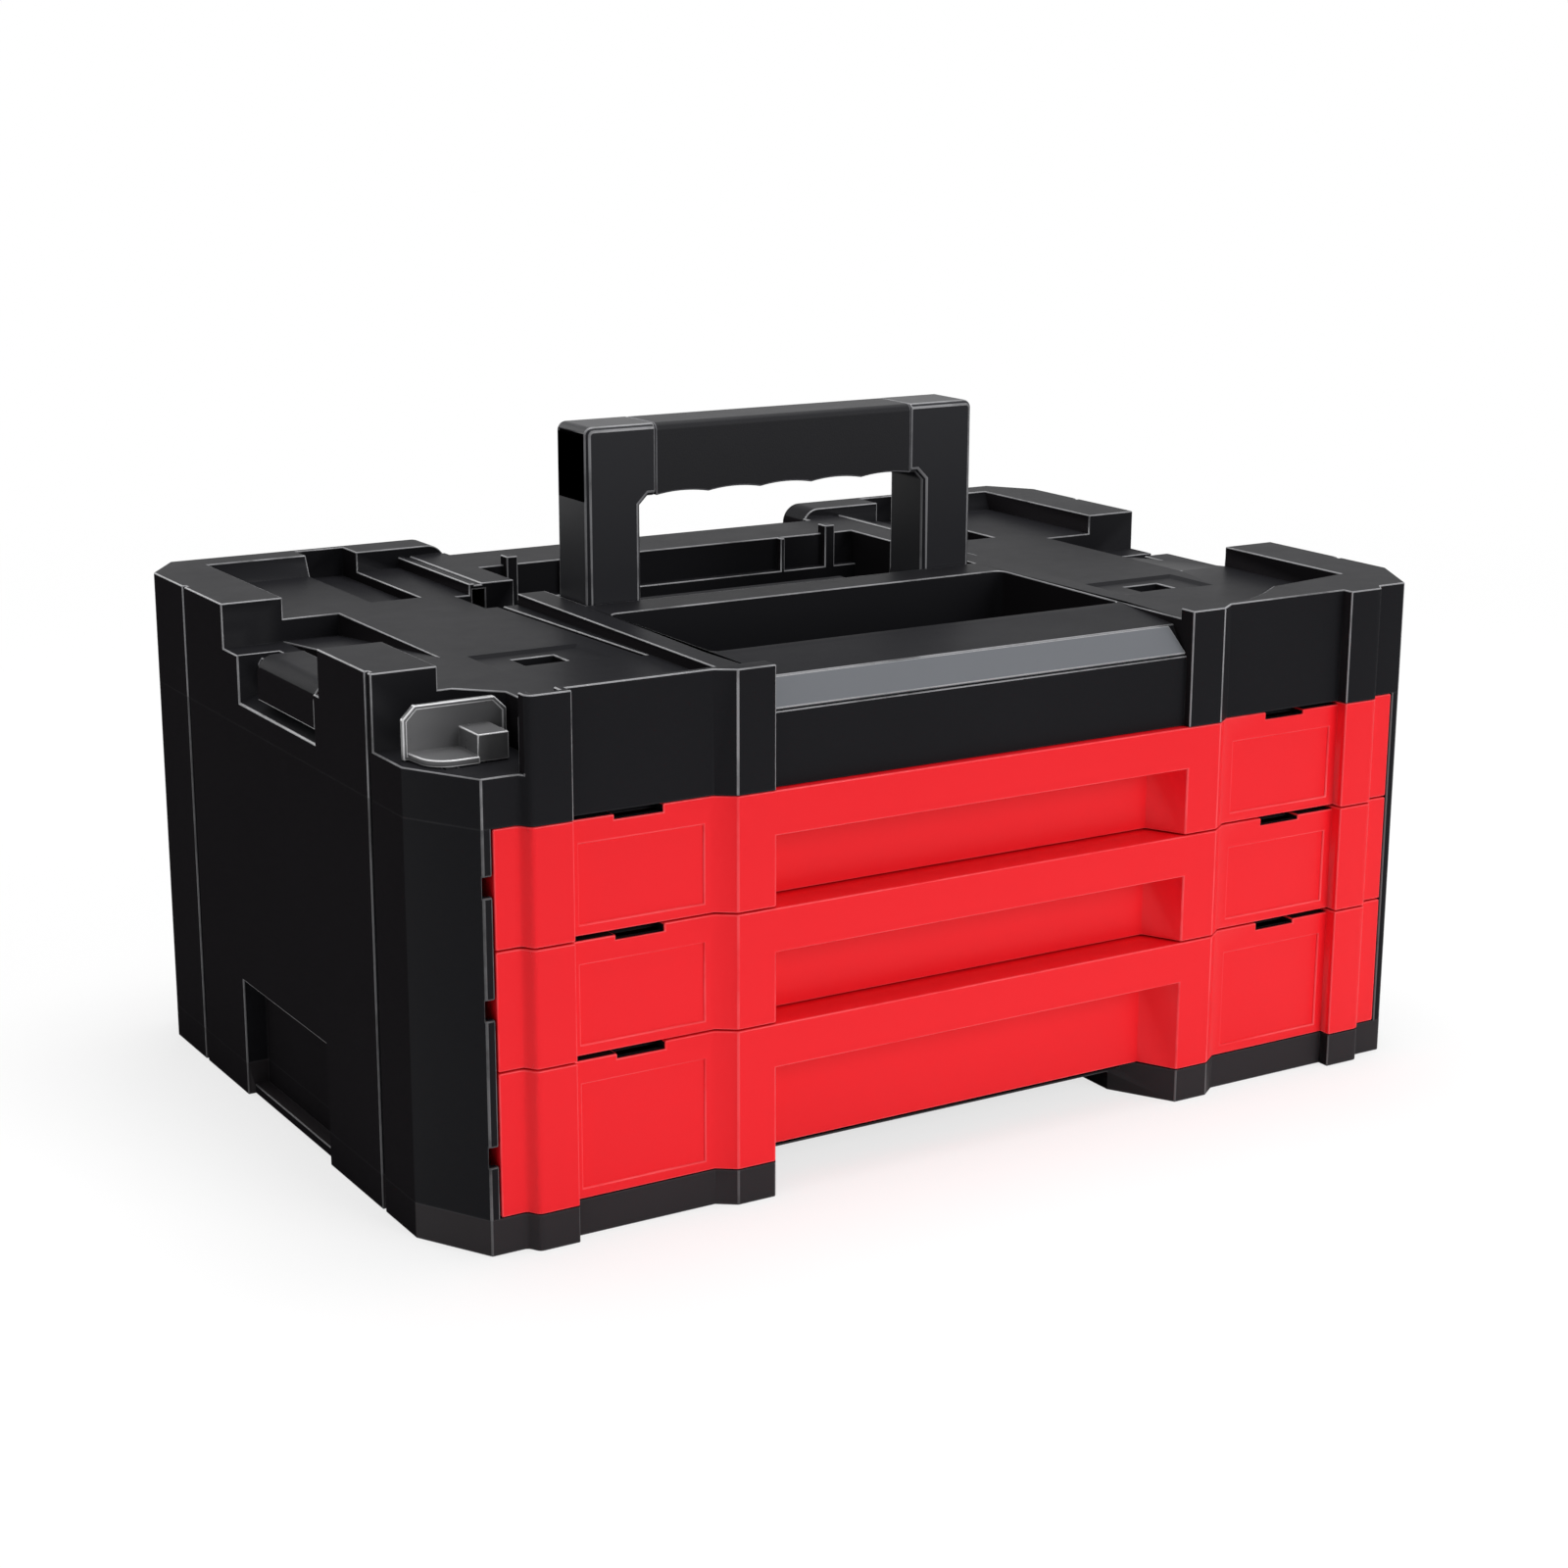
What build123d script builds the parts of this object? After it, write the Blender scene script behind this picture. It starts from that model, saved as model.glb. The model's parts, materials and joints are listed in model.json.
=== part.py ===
"""A stackable socket organizer box with three drawers, a carrying handle and an open parts bin.

Millimetres. The origin is the middle of the base's underside, +Z is up, and the drawers open
towards -Y. Left and right are those of a person who faces the drawers, so left is -X.
"""

from build123d import *
from math import atan2, degrees, hypot
import os

os.makedirs("parts", exist_ok=True)

# ---------------------------------------------------------------- driving dimensions

width = 440.0                # over both side walls
depth = 298.0                # drawer columns to rear wall
base_height = 13.5
top_drawer_height = 43.2
middle_drawer_height = 43.5
bottom_drawer_height = 53.2
deck_height = 45.0           # deck moulding, up to its rim

half_width = width / 2
front_y = -depth / 2
rear_y = depth / 2

wall = 3.0                   # side and rear walls
tray_wall = 2.2
sheet = 2.5                  # liners and the deck's inner skins
slide_gap = 0.3              # between a drawer and what it runs on
seam = 0.6                   # between one drawer front and the next

# Plan of the front, measured from its middle line or from the side wall inwards
front_corner_run = 16.0      # the corner chamfer along X
front_corner_depth = 28.5    # and along Y
rear_corner_run = 14.0
rear_corner_depth = 20.0
strip_setback = 4.5          # flat strip beside the corner column
panel_setback = 5.0          # panel between the columns
post_width = 19.4            # corner post, side wall to drawer opening
front_side_gap = 0.6
strip_width = 8.0            # strip at each end of a drawer front
curve_width = 6.0            # S-curve between the strip and the corner column
column_width = 14.0          # corner column
pull_half = 92.5             # half of the finger pull, between the inner columns
inner_column_width = 15.5
column_slope = 7.0

# Drawer fronts
front_thickness = 18.0       # column face to the back of the front
front_skin = 3.0
lip_height = 16.5            # band that the fingers hook behind
pull_depth = 15.0
pull_taper = 8.0             # how far each end of the finger pull slopes in
lip_rise = 7.5               # how far the hollow climbs behind the lip
notch_inset = 37.0           # small seam notch on each panel, inwards from the corner column
notch_width = 19.0
notch_drop = 3.0
notch_depth = 2.0
seam_drop = 1.2              # the wider seam beside the notch
panel_relief = 0.8
panel_margin_x = 4.0
panel_margin_low = 4.0
panel_margin_top = 10.0

# Drawer trays and their running gear
tray_inset = 6.0             # tray inside the ends of its front
flange_reach = 5.0
flange_thick = 2.5
tray_drop = 6.0              # tray rim below the top of its front
tray_lift = 3.0              # tray floor above the bottom of its front
tray_rear = rear_y - 15.0
travel = 210.0
ear_reach = 4.0              # stop ear beyond the flange
ear_length = 12.0
ledge_thick = 3.0
liner_front = front_y + 39.0
liner_rear = rear_y - 8.0
liner_room = 1.0             # between the stop ears and the liner

# Organizers
organizer_gap = 0.6
organizer_floor = 2.0
rib = 2.5
tool_lane = 62.0             # plain lane behind each front, for a ratchet
lane_gap = 7.0               # between one row of sockets and the next
notch_land = 5.0             # between neighbouring cradles

# Deck
wing_floor_drop = 8.4        # wing floor below the rim
land_drop = 3.9              # middle land below the rim
land_half = 104.0
lip_wall = 3.0               # front lip of the wings
block_in = half_width - 25.0     # inner face of the side blocks
bin_half = 92.0
bin_front = front_y + 45.0
bin_rear = bin_front + 81.0
bin_depth = 35.5
bin_radius = 4.0
pocket_half = 92.0
pocket_front = bin_rear + 18.5
pocket_rear = pocket_front + 97.0
pocket_depth = 23.0
pocket_ledge = 3.6           # finger ledge along the pocket's rear wall
pocket_ledge_drop = 14.5
island_drop = 12.5           # raised floor between the legs of the folded handle
island_gap = 2.4
gusset_x = 54.0
stop_x = 76.0
stop_width = 5.0
land_rear = rear_y - 24.0    # behind this the middle land drops to the wings' level
centre_setback = 3.5         # deck front between the columns

# Accent strip: the sloped face between the deck front and the land
strip_low_drop = 16.7
strip_top_drop = 6.9
strip_top_in = 7.1
strip_thick = 1.8
strip_half = 92.2
strip_slant = 3.2

# Rear rim, stacking slots and grooves
rear_block_front = rear_y - 18.0
inner_block_in = 90.0
inner_block_out = half_width - 89.0
outer_block_in = half_width - 68.0
channel_front = rear_y - 83.0
channel_drop = 12.4
rail_out = 112.0
rail_front = pocket_rear - 32.5
rail_mouth = 12.0            # length of the dark opening under the rail's front end
well_out = 118.0             # well in front of the rail, open to the handle's pocket
well_length = 28.0
well_drop = 16.0
slot_in = half_width - 88.0
slot_out = slot_in + 17.0
slot_front = front_y + 82.0
slot_rear = slot_front + 12.0
slot_drop = 9.0
dish_margin = 14.0
dish_margin_y = 8.0
dish_drop = 1.2
dish_taper = 58.0
groove_width = 2.2
groove_drop = 2.0
groove_front = front_y + 71.0
groove_toe = 1.0             # the groove starts this far from the land
groove_spread = 5.5          # and runs away from it by this much

# Side notches and latches
notch_front = front_y + 105.0
notch_rear = notch_front + 96.0
notch_floor_drop = 17.4
trough_in = block_in - 23.0      # sloped trough beside the notch
bay_in = half_width - 17.0
bay_front = notch_front + 5.0
bay_rear = bay_front + 76.0
bay_drop = 37.4
bay_slope = 9.0
latch_gap = 1.0
latch_length = 56.0
latch_top = 8.0              # above the pivot
latch_foot = 9.0             # below the pivot
latch_skin = 3.4
hook_reach = 8.5             # hook, from the pivot inwards
hook_thick = 2.8
web_thick = 3.0              # web that carries the pin behind the latch
web_gap = 8.0
latch_pivot_in = 11.0        # pivot, from the side wall inwards
latch_pivot_drop = 22.0      # and below the rim
latch_barrel_r = 4.5
latch_round = 7.0
latch_pin_r = 2.0
latch_pin_reach = 4.0
pin_fit = 0.05

# Corner niche and drawer lock
niche_rear = front_y + 57.0
niche_drop = 27.4
niche_corner = half_width - 30.0
niche_side = half_width - 44.0
niche_skin = 3.0             # wall between the niche and the hollow under the wing
tab_gap = 0.3
tab_height = 18.7
tab_left = half_width - 3.5
tab_right = half_width - 42.3
tab_plate_y = front_y + 41.0
tab_plate = 2.4
tab_corner = 4.5
tab_frame = 1.6              # raised frame round the plate's front face
tab_relief = 0.6
tab_ledge = 2.5
tab_ledge_depth = 18.6
tab_ledge_in = half_width - 24.4
tab_ledge_out = half_width - 5.0
tab_round = 9.5              # rounded outer corner of the ledge
tab_pad_in = half_width - 36.0
tab_pad_depth = 17.0
tab_pad_height = 9.7
bar_room = 0.8               # between a catch and the bar
bar_thick = 3.4
bar_front = front_y + 23.0
bar_rear = bar_front + 12.0
bar_foot = base_height + 8.5
finger_length = 4.0
finger_height = 5.0
finger_reach = 4.2
catch_height = 6.0
catch_lift = 20.0            # catch above the bottom of its drawer front
catch_gap = 2.5
catch_length = 4.0
catch_reach = 3.8
catch_rest_gap = 1.5

# Handle
handle_half = 90.4
leg_width = 24.0
handle_front = pocket_front + 1.5
handle_depth = 26.0
handle_rise = 65.0           # above the deck rim
grip_depth = 28.4
handle_corner = 3.5
handle_inner_corner = 3.5
pivot_drop = 13.0
handle_edge = 1.6
grip_half = 60.0
grip_gap = 0.2
grip_skin = 5.0
wave_count = 5
wave_depth = 1.1
handle_pin_r = 4.0
handle_pin_grip = 9.0        # length of the pin inside the deck
handle_pin_in = 15.0         # and inside the leg
socket_depth = 12.0          # hollow in each end of the handle's bar
socket_wall = 2.6

# Side windows, side grooves, base
window_front = front_y + 111.0
window_rear = window_front + 85.0
window_low = 4.0
window_top = 48.0
window_depth = 9.0
window_wall = 2.5
window_strip = 3.0
side_groove_front = front_y + 61.0
side_groove_rear = rear_y - 55.0
side_groove_width = 2.4
side_groove_depth = 1.4
base_floor = 3.0
base_rim = 23.0
recess_half = 78.0
recess_setback = 25.0        # base front between its feet
recess_height = 7.6
recess_rear = rear_y - 49.0
screw_r = 1.9
screw_head_r = 3.6
screw_head_height = 2.4
screw_grip = 10.0
screw_fit = 0.1
screw_sink = 5.0
boss_width = 9.0
screw_front = front_y + 59.0
screw_rear = rear_y - 24.0

# ---------------------------------------------------------------- derived places

panel_y = front_y + panel_setback
strip_y = front_y + strip_setback
post_x = half_width - front_corner_run
opening_half = half_width - post_width
front_half = opening_half - front_side_gap
strip_x = front_half - strip_width
column_out = strip_x - curve_width
column_in = column_out - column_width
front_back = front_y + front_thickness

bottom_z = base_height
middle_z = bottom_z + bottom_drawer_height
top_z = middle_z + middle_drawer_height
deck_z = top_z + top_drawer_height
rim_z = deck_z + deck_height
wing_z = rim_z - wing_floor_drop
land_z = rim_z - land_drop
handle_top = rim_z + handle_rise
pivot_z = rim_z - pivot_drop
pivot_y = handle_front + handle_depth / 2
niche_z = rim_z - niche_drop
tab_z = niche_z + tab_gap
tray_half = front_half - tray_inset
flange_half = tray_half + flange_reach
liner_in = flange_half + ear_reach + liner_room
liner_out = liner_in + sheet
notch_in = column_in - notch_inset
bar_in = front_half + catch_reach + bar_room
bar_out = bar_in + bar_thick
lip_y = panel_y + lip_wall
ledge_z = land_z - pocket_ledge_drop
notch_floor = rim_z - notch_floor_drop
well_z = land_z - well_drop
inner_wall = half_width - wall

drawers = {
    "bottom": (bottom_z, bottom_drawer_height),
    "middle": (middle_z, middle_drawer_height),
    "top": (top_z, top_drawer_height),
}


# ---------------------------------------------------------------- shared helpers

def block(x, y, z, mode=Mode.ADD):
    """A straight block; x, y and z are each a (low, high) pair."""
    centre = ((x[0] + x[1]) / 2, (y[0] + y[1]) / 2, (z[0] + z[1]) / 2)
    with Locations(centre):
        Box(x[1] - x[0], y[1] - y[0], z[1] - z[0], mode=mode)


def sided(side, low, high):
    """The (low, high) pair on the left (side = -1) or right (side = 1) half."""
    return (low, high) if side > 0 else (-high, -low)


def prism(points, z, mode=Mode.ADD):
    """A prism over a plan polygon, between the two heights in z."""
    with BuildSketch(Plane.XY.offset(z[0])) as plan:
        with BuildLine():
            Polyline(*points, close=True)
        make_face()
    extrude(plan.sketch, amount=z[1] - z[0], mode=mode)


def side_prism(points, x, mode=Mode.ADD):
    """A prism over a (y, z) polygon, between the two places in x."""
    with BuildSketch(Plane.YZ.offset(x[0])) as profile:
        with BuildLine():
            Polyline(*points, close=True)
        make_face()
    extrude(profile.sketch, amount=x[1] - x[0], mode=mode)


def rod(radius, start, axis, length, mode=Mode.ADD):
    """A round rod or bore from a start point along an axis."""
    with BuildSketch(Plane(origin=start, z_dir=axis)) as end:
        Circle(radius)
    extrude(end.sketch, amount=length, mode=mode)


def front_line(middle_y):
    """Half of the front's plan line, from the middle to the corner column."""
    slope_start = pull_half + inner_column_width
    return [
        (0, middle_y),
        (pull_half, middle_y),
        (pull_half, front_y),
        (slope_start, front_y),
        (slope_start + column_slope, panel_y),
        (column_in, panel_y),
        (column_in, front_y),
        (column_out, front_y),
    ]


def front_plan(z, middle_y, ends):
    """The plan face behind the front line; ends are the half outline's remaining points."""
    line = front_line(middle_y)
    if middle_y == front_y:
        line = [line[0]] + line[3:]
    with BuildSketch(Plane.XY.offset(z)) as plan:
        with BuildLine():
            Polyline(*line)
            Spline(line[-1], (strip_x, strip_y), tangents=((1, 0), (1, 0)))
            Polyline((strip_x, strip_y), *ends, line[0])
        make_face()
        mirror(about=Plane.YZ)
    return plan.sketch


corner_ends = [
    (post_x, strip_y),
    (half_width, strip_y + front_corner_depth),
    (half_width, rear_y - rear_corner_depth),
    (half_width - rear_corner_run, rear_y),
    (0, rear_y),
]


def finish(part, name):
    """Label one finished piece and write it."""
    part.part.label = name
    export_step(part.part, f"parts/{name}.step")


# ---------------------------------------------------------------- base

screw_spots = [
    (side * (liner_out - boss_width / 2), y)
    for side in (-1, 1)
    for y in (screw_front, (screw_front + screw_rear) / 2, screw_rear)
]


def make_base():
    tray_in = half_width - base_rim
    hump = recess_half + wall
    with BuildPart() as base:
        extrude(front_plan(0, front_y, corner_ends), amount=base_height)
        block((-tray_in, tray_in), (front_back + wall, rear_y - 2 * wall), (base_floor, base_height),
              Mode.SUBTRACT)
        block((-hump, hump), (front_back + wall, recess_rear + wall),
              (base_floor, recess_height + base_floor))
        # The front is open between the feet, and the hollow under it runs back
        foot = pull_half - recess_half
        prism(
            [
                (-recess_half - foot, front_y - wall),
                (recess_half + foot, front_y - wall),
                (recess_half + foot, front_y),
                (recess_half, front_y + recess_setback),
                (-recess_half, front_y + recess_setback),
                (-recess_half - foot, front_y),
            ],
            (0, base_height),
            Mode.SUBTRACT,
        )
        block((-recess_half, recess_half), (front_y, recess_rear), (0, recess_height), Mode.SUBTRACT)
        for side in (-1, 1):
            # The window above reaches down into the base and leaves a thin strip
            block(sided(side, half_width - window_depth, half_width + wall), (window_front, window_rear),
                  (window_low, base_height), Mode.SUBTRACT)
            block(sided(side, half_width - window_strip, half_width + wall), (window_front, window_rear),
                  (0, window_low), Mode.SUBTRACT)
            for y in (side_groove_front, side_groove_rear):
                block(sided(side, half_width - side_groove_depth, half_width + wall),
                      (y - side_groove_width / 2, y + side_groove_width / 2), (0, base_height), Mode.SUBTRACT)
            # Stiffening ribs across the tray
            for y in (front_y + depth * 0.3, front_y + depth * 0.63):
                block(sided(side, hump, tray_in), (y - 1, y + 1), (base_floor, base_height - wall))
        for x, y in screw_spots:
            rod(screw_r + screw_fit, (x, y, 0), (0, 0, 1), base_height, Mode.SUBTRACT)
            rod(screw_head_r + screw_fit, (x, y, 0), (0, 0, 1), screw_sink, Mode.SUBTRACT)
    return base


def make_base_screws():
    with BuildPart() as screws:
        for x, y in screw_spots:
            rod(screw_head_r, (x, y, screw_sink - screw_head_height), (0, 0, 1), screw_head_height)
            rod(screw_r, (x, y, screw_sink), (0, 0, 1), base_height - screw_sink + screw_grip)
    return screws


# ---------------------------------------------------------------- side and rear walls

def make_side_panel(side):
    """One side wall with its front post, rear corner, grooves and low window."""
    # The post's inner chamfer line runs parallel to its outer one
    slant = hypot(front_corner_run, front_corner_depth)
    inset = wall * slant / front_corner_depth
    post_return = strip_y + wall
    inner_post = post_x - inset + wall * front_corner_run / front_corner_depth
    chamfer_rear = strip_y + front_corner_depth + wall * 0.5
    outline = [
        (opening_half, strip_y),
        (post_x, strip_y),
        (half_width, strip_y + front_corner_depth),
        (half_width, rear_y - rear_corner_depth),
        (half_width - rear_corner_run, rear_y),
        (half_width - rear_corner_run - 2 * wall, rear_y),
        (half_width - rear_corner_run - 2 * wall, rear_y - wall),
        (half_width - rear_corner_run - wall * 0.6, rear_y - wall),
        (inner_wall, rear_y - rear_corner_depth - wall * 0.3),
        (inner_wall, chamfer_rear),
        (inner_post, post_return),
        (opening_half, post_return),
    ]
    with BuildPart() as panel:
        prism([(side * x, y) for x, y in outline], (base_height, deck_z))
        # Pocket behind the low window
        block(sided(side, half_width - window_depth - window_wall, inner_wall),
              (window_front - window_wall, window_rear + window_wall),
              (base_height, window_top + window_wall))
        block(sided(side, half_width - window_depth, half_width + wall), (window_front, window_rear),
              (base_height, window_top), Mode.SUBTRACT)
        for y in (side_groove_front, side_groove_rear):
            block(sided(side, half_width - side_groove_depth, half_width + wall),
                  (y - side_groove_width / 2, y + side_groove_width / 2), (base_height, deck_z),
                  Mode.SUBTRACT)
        if side < 0:
            # Slots in the left post, through which each drawer's catch passes
            for low, height in drawers.values():
                catch_z = low + catch_lift
                reach = front_half + catch_reach + slide_gap
                block(sided(side, opening_half - wall, reach), (strip_y - wall, post_return + wall),
                      (catch_z - seam, catch_z + catch_height + seam), Mode.SUBTRACT)
    return panel


def make_rear_panel():
    reach = half_width - rear_corner_run - 2 * wall - slide_gap
    bay = 2 * reach / 3
    with BuildPart() as panel:
        block((-reach, reach), (rear_y - wall, rear_y), (base_height, deck_z))
        with BuildSketch(Plane.XZ.offset(-rear_y)) as fields:
            with Locations((0, (base_height + deck_z) / 2)):
                with GridLocations(bay, 1, 3, 1):
                    RectangleRounded(bay - 16, deck_z - base_height - 20, 6)
        extrude(fields.sketch, amount=side_groove_depth, mode=Mode.SUBTRACT)
    return panel


# ---------------------------------------------------------------- runners

def rail_levels():
    """Height of each tray's rim, which its flange shares."""
    return [low + height - tray_drop for low, height in drawers.values()]


def make_runner(side):
    """The liner with a ledge under and over each tray's flange, and the stops of the drawers."""
    ledge_in = tray_half + 1.5
    stop_rear = tray_rear - ear_length - travel - slide_gap
    with BuildPart() as runner:
        block(sided(side, liner_in, liner_out), (liner_front, liner_rear), (base_height, deck_z))
        for rim in rail_levels():
            under = rim - flange_thick - slide_gap
            over = rim + slide_gap
            for z in ((under - ledge_thick, under), (over, over + ledge_thick)):
                block(sided(side, ledge_in, liner_in), (liner_front, liner_rear), z)
            block(sided(side, flange_half + slide_gap, liner_in), (liner_front, stop_rear), (under, over))
        # Ribs that carry the liner on the side wall
        for y in (liner_front + sheet, side_groove_rear + 20):
            block(sided(side, liner_out, inner_wall), (y - sheet / 2, y + sheet / 2), (base_height, deck_z))
        for x, y in screw_spots:
            if x * side > 0:
                block(sided(side, liner_out - boss_width, liner_out),
                      (y - boss_width / 2, y + boss_width / 2),
                      (base_height, base_height + screw_grip + sheet))
                rod(screw_r + screw_fit / 2, (x, y, base_height), (0, 0, 1), screw_grip, Mode.SUBTRACT)
    return runner


# ---------------------------------------------------------------- drawers

def make_front(low, height):
    """A drawer front: a thin moulding with columns, framed panels and a deep finger pull."""
    z0 = low + seam / 2
    z1 = low + height - seam / 2
    lip_z = z1 - lip_height
    panel_start = pull_half + inner_column_width + column_slope
    with BuildPart() as front:
        extrude(front_plan(z0, front_y, [(front_half, strip_y), (front_half, front_back), (0, front_back)]),
                amount=z1 - z0)
        # The finger pull: open below, its ends slope in towards the back
        pull_back = front_y + pull_depth
        prism(
            [
                (-pull_half, front_y - wall),
                (pull_half, front_y - wall),
                (pull_half, front_y),
                (pull_half - pull_taper, pull_back),
                (-pull_half + pull_taper, pull_back),
                (-pull_half, front_y),
            ],
            (z0, lip_z),
            Mode.SUBTRACT,
        )
        behind = pull_half - pull_taper
        side_prism([(front_y + front_skin, lip_z), (pull_back, lip_z), (pull_back, lip_z + lip_rise)],
                   (-behind, behind), Mode.SUBTRACT)
        for side in (-1, 1):
            # The back is hollow behind the columns and the panel
            block(sided(side, pull_half + front_skin, front_half - front_skin),
                  (panel_y + front_skin, front_back), (z0 + front_skin, z1 - front_skin), Mode.SUBTRACT)
            # Framed panel, seam notch and the wider seam beside it
            block(sided(side, panel_start + panel_margin_x, column_in - panel_margin_x),
                  (panel_y, panel_y + panel_relief), (z0 + panel_margin_low, z1 - panel_margin_top),
                  Mode.SUBTRACT)
            recess = (panel_y, panel_y + notch_depth)
            notch_out = notch_in + notch_width
            block(sided(side, notch_in, notch_out), recess, (z1 - notch_drop, z1), Mode.SUBTRACT)
            block(sided(side, notch_out, column_in), recess, (z1 - seam_drop, z1), Mode.SUBTRACT)
        # The lock's catch stands on an arm behind the left end
        catch_z = low + catch_lift
        catch_front = bar_front + finger_length + catch_gap
        arm = (catch_z, catch_z + catch_height)
        block(sided(-1, front_half - front_skin, front_half), (front_back, catch_front + catch_length), arm)
        block(sided(-1, front_half - front_skin, front_half + catch_reach),
              (catch_front, catch_front + catch_length), arm)
    return front


def make_tray(low, height):
    """The box behind a front, with the flanges that run on the ledges and its two stop ears."""
    floor_z = low + tray_lift
    rim = low + height - tray_drop
    with BuildPart() as tray:
        block((-tray_half, tray_half), (front_back, tray_rear), (floor_z, rim))
        for side in (-1, 1):
            block(sided(side, tray_half, flange_half), (front_back, tray_rear), (rim - flange_thick, rim))
            block(sided(side, flange_half, flange_half + ear_reach), (tray_rear - ear_length, tray_rear),
                  (rim - flange_thick, rim))
        inside = tray_half - tray_wall
        block((-inside, inside), (front_back + tray_wall, tray_rear - tray_wall), (floor_z + tray_wall, rim),
              Mode.SUBTRACT)
    return tray


def cradle_radii(smallest, largest, reach):
    """Radii of the cradles in one row: graded, as many as fit on both sides of the middle."""
    count = int(2 * reach / (smallest + largest + notch_land))
    step = (largest - smallest) / (count - 1)
    return [smallest + step * number for number in range(count)]


def make_organizer(low, height, rows, smallest, largest, rib_height):
    """The insert of one drawer: a plain tool lane, then rows of graded cradles for lying sockets."""
    floor_z = low + tray_lift + tray_wall
    reach = tray_half - tray_wall - organizer_gap
    front = front_back + tray_wall + organizer_gap
    rear = tray_rear - tray_wall - organizer_gap
    base_top = floor_z + organizer_floor
    rib_top = base_top + rib_height
    lane = (rear - front - tool_lane - rows * lane_gap) / rows
    with BuildPart() as organizer:
        block((-reach, reach), (front, rear), (floor_z, base_top))
        block((-reach, reach), (front, front + rib), (base_top, rib_top))
        for side in (-1, 1):
            block(sided(side, reach - rib, reach), (front, rear), (base_top, rib_top))
        for row in range(rows):
            start = front + tool_lane + row * (lane + lane_gap)
            radii = cradle_radii(smallest + row, largest + row, reach - 2 * rib)
            spare = 2 * (reach - rib) - sum(2 * radius for radius in radii)
            land = spare / (len(radii) + 1)
            for y in (start, start + lane):
                with BuildSketch(Plane.XZ.offset(-y - rib)) as profile:
                    with Locations((0, (base_top + rib_top) / 2)):
                        Rectangle(2 * reach, rib_top - base_top)
                    x = -reach + rib + land
                    for radius in radii:
                        with Locations((x + radius, rib_top)):
                            Circle(min(radius, rib_height - 1.5), mode=Mode.SUBTRACT)
                        x += 2 * radius + land
                extrude(profile.sketch, amount=rib)
    return organizer


# ---------------------------------------------------------------- deck

def cut_wings():
    """Lower the two wings and the middle land below the rim, leaving the blocks and the front lip."""
    top = (wing_z, rim_z + wall)
    # Right: the front rim is wide beside the corner and narrows to a thin lip
    narrow = half_width - 93
    prism([(land_half, rear_block_front), (block_in, rear_block_front), (block_in, front_y + 32),
           (narrow + 26, front_y + 25), (narrow + 13, front_y + 16), (narrow, lip_y + 1),
           (land_half, lip_y)], top, Mode.SUBTRACT)
    # Left: the wing runs to the thin lip, and straight into the corner niche
    column_lip = front_y + lip_wall
    prism([(-land_half, rear_block_front), (-block_in, rear_block_front), (-block_in, strip_y + 2),
           (-column_out, strip_y + 2), (-column_out, column_lip), (-column_in - lip_wall, column_lip),
           (-column_in - lip_wall, lip_y), (-land_half, lip_y)], top, Mode.SUBTRACT)
    over_land = (land_z, rim_z + wall)
    block((-land_half, land_half), (lip_y, rear_block_front), over_land, Mode.SUBTRACT)
    block((-pull_half, pull_half), (front_y - wall, lip_y), over_land, Mode.SUBTRACT)
    block((-inner_block_in, inner_block_in), (land_rear, rear_y + wall), top, Mode.SUBTRACT)
    # The inner rear blocks have a round shoulder towards the middle
    shoulder = wing_floor_drop
    for side in (-1, 1):
        with BuildSketch(Plane.XZ.offset(-rear_y - wall)) as round_end:
            with Locations((side * (inner_block_in + shoulder / 2), rim_z - shoulder / 2)):
                Rectangle(shoulder, shoulder)
            with Locations((side * (inner_block_in + shoulder), rim_z - shoulder)):
                Circle(shoulder, mode=Mode.SUBTRACT)
        extrude(round_end.sketch, amount=rear_y + wall - rear_block_front, mode=Mode.SUBTRACT)


def strip_line():
    """Low and high edge of the accent strip's outer face, as (y, z)."""
    low_y = front_y + centre_setback
    return (low_y, rim_z - strip_low_drop), (low_y + strip_top_in, rim_z - strip_top_drop)


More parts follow.
